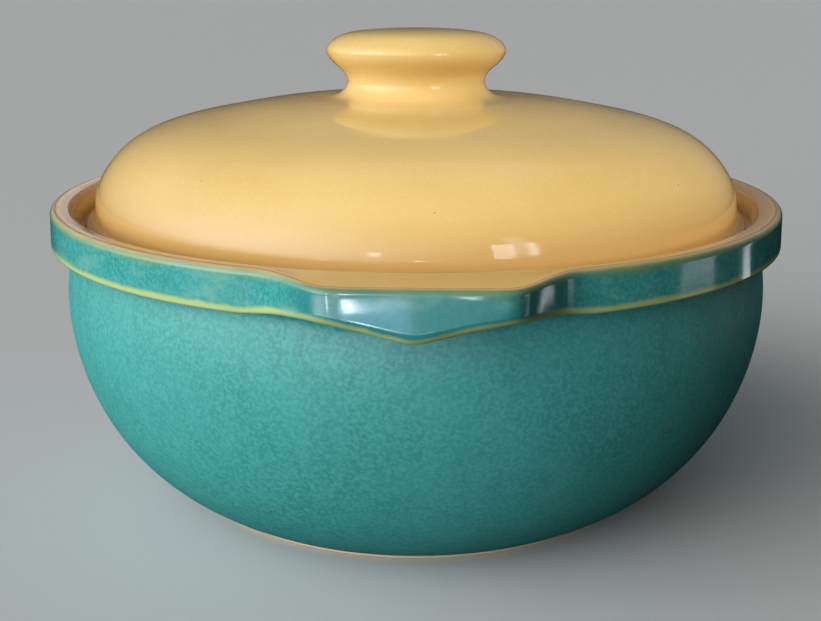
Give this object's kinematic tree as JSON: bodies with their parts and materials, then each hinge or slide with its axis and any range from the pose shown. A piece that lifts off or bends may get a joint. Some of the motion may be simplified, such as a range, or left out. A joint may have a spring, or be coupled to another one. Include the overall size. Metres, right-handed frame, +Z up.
{
  "type": "covered casserole dish",
  "caption": "Round glazed stoneware casserole with integral lugs, and a domed lid with a turned knob that lifts off its ledge.",
  "frame": {"origin": "centre of the dish's foot ring, on the table", "axes": "+Z up along the dish's axis, +Y through the two lugs, with the lug seen in the picture at -Y, +X to the right"},
  "size_m": [0.2526, 0.2862, 0.1601],
  "materials": {
    "teal_glaze": "gloss",
    "yellow_glaze": "gloss"
  },
  "bodies": {
    "bowl": {"bowl": "teal_glaze"},
    "lid": {"lid": "yellow_glaze", "lid_knob": "yellow_glaze"}
  },
  "joints": [
    {"name": "lid_lift", "type": "slide", "parent": "bowl", "child": "lid", "axis": [0, 0, 1], "range_m": [0, 0.1]}
  ]
}
